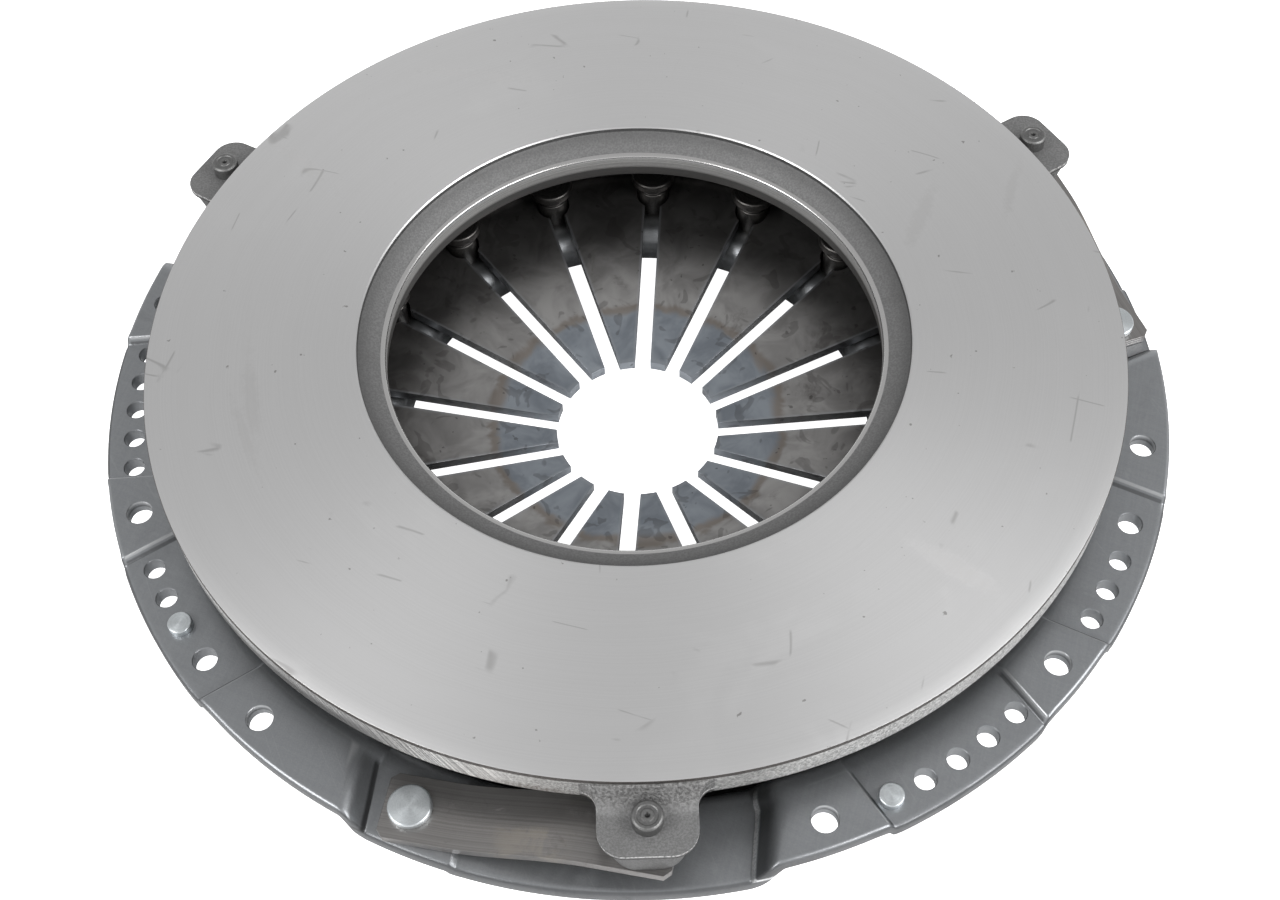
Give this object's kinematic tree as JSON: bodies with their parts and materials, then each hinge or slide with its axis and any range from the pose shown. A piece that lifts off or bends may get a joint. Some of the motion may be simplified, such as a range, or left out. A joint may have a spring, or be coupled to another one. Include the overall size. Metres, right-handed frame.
{
  "type": "tractor clutch",
  "caption": "Push-type diaphragm spring clutch cover assembly: a pressed steel cover bolts to a flywheel and clamps a driven disc with a cast pressure plate held by tangential straps.",
  "frame": {"origin": "centre of the flywheel bolt circle, on the plane of the cover's bolting pads", "axes": "+Z along the clutch's axis, from the cover towards the flywheel and out of the friction face; +X to the right and +Y away from the viewer in the picture"},
  "size_m": [0.375, 0.375, 0.0644],
  "materials": {
    "cover": "pressed sheet with a dark satin phosphate",
    "plate": "sand cast, with a ground friction face",
    "spring": "hardened and oiled spring steel with blued finger tips",
    "wire": "drawn wire, oiled",
    "leaf": "rolled and tempered strip",
    "zinc_rivet": "zinc plated",
    "rivet": "phosphated, turned"
  },
  "bodies": {
    "cover": {"cover": "cover", "diaphragm_spring": "spring", "upper_wire_ring": "wire", "lower_wire_ring": "wire", "shouldered_rivets": "rivet", "strap_1_leaf_1": "leaf", "strap_1_leaf_2": "leaf", "strap_1_leaf_3": "leaf", "strap_2_leaf_1": "leaf", "strap_2_leaf_2": "leaf", "strap_2_leaf_3": "leaf", "strap_3_leaf_1": "leaf", "strap_3_leaf_2": "leaf", "strap_3_leaf_3": "leaf", "cover_strap_rivet_1": "zinc_rivet", "cover_strap_rivet_2": "zinc_rivet", "cover_strap_rivet_3": "zinc_rivet", "balance_rivet_1": "zinc_rivet", "balance_rivet_2": "zinc_rivet"},
    "pressure_plate": {"pressure_plate": "plate", "lug_rivet_1": "rivet", "lug_rivet_2": "rivet", "lug_rivet_3": "rivet"}
  },
  "joints": [
    {"name": "plate_slide", "type": "slide", "parent": "cover", "child": "pressure_plate", "axis": [0, 0, -1], "range_m": [0, 0.006], "stiffness_N_per_m": 100000, "springref_m": -0.003, "deforming": ["diaphragm_spring", "strap_1_leaf_1", "strap_1_leaf_2", "strap_1_leaf_3", "strap_2_leaf_1", "strap_2_leaf_2", "strap_2_leaf_3", "strap_3_leaf_1", "strap_3_leaf_2", "strap_3_leaf_3"]}
  ]
}
